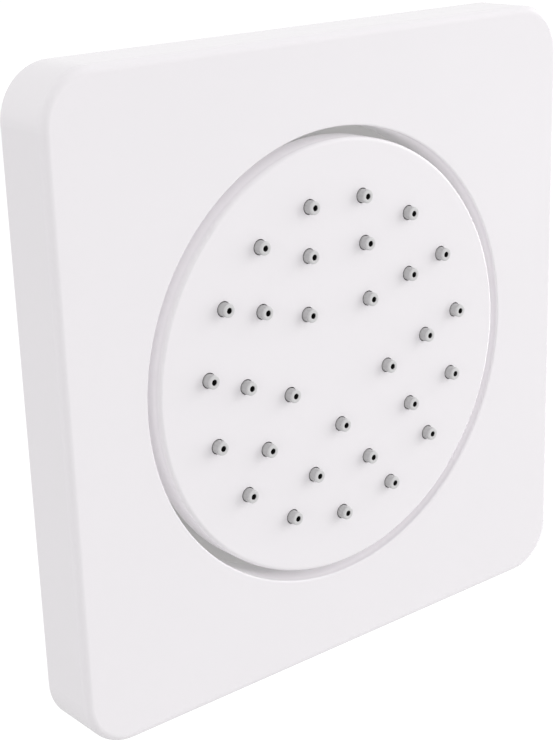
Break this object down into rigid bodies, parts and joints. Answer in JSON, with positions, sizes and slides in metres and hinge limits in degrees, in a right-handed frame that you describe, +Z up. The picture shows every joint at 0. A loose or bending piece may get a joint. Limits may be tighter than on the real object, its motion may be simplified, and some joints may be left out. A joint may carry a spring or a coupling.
{
  "type": "shower body jet",
  "caption": "Square white wall body jet: a round flush spray head with soft nozzles tilts and turns on a ball stem behind a rounded cover plate.",
  "frame": {"origin": "centre of the four wall screw holes, on the back of the base where it meets the wall", "axes": "+Y into the wall along the jet's axis, +Z up, +X to the right as seen from the front; the jet faces -Y"},
  "size_m": [0.12, 0.0492, 0.12],
  "materials": {
    "plate_white": "smooth gloss white",
    "face_white": "smooth satin-gloss white",
    "base_white": "fine matte moulded white",
    "grey_plastic": "moulded light grey",
    "nylon": "natural nylon",
    "regulator_plastic": "moulded blue-green",
    "nozzle_silicone": "soft light grey silicone",
    "black_rubber": "matte black",
    "brass": "turned brass",
    "stainless": "plain stainless steel"
  },
  "bodies": {
    "root": {"face_plate": "plate_white", "mounting_base": "base_white", "plate_gasket": "black_rubber", "spring_clips": "stainless", "ball_stem": "brass", "stem_washer": "nylon", "base_seal": "black_rubber", "slip_washer": "nylon", "backnut": "brass", "flow_regulator": "regulator_plastic", "regulator_ring": "black_rubber", "inlet_filter": "stainless", "inlet_washer": "black_rubber"},
    "rear_seat": {"rear_seat": "nylon"},
    "front_seat": {"front_seat": "nylon"},
    "spray_head": {"spray_face": "face_white", "nozzle_mat": "nozzle_silicone", "chamber_back": "grey_plastic", "chamber_seal": "black_rubber", "head_screws": "stainless", "ball_seal": "black_rubber", "collar_nut": "grey_plastic"}
  },
  "joints": [
    {"name": "tilt_up_down", "type": "hinge", "parent": "root", "child": "rear_seat", "pos_m": [0, -0.0035, 0], "axis": [1, 0, 0], "range_deg": [-5, 5]},
    {"name": "tilt_left_right", "type": "hinge", "parent": "rear_seat", "child": "front_seat", "pos_m": [0, -0.0035, 0], "axis": [0, 0, 1], "range_deg": [-5, 5]},
    {"name": "head_turn", "type": "hinge", "parent": "front_seat", "child": "spray_head", "pos_m": [0, -0.0035, 0], "axis": [0, 1, 0], "continuous": true}
  ]
}
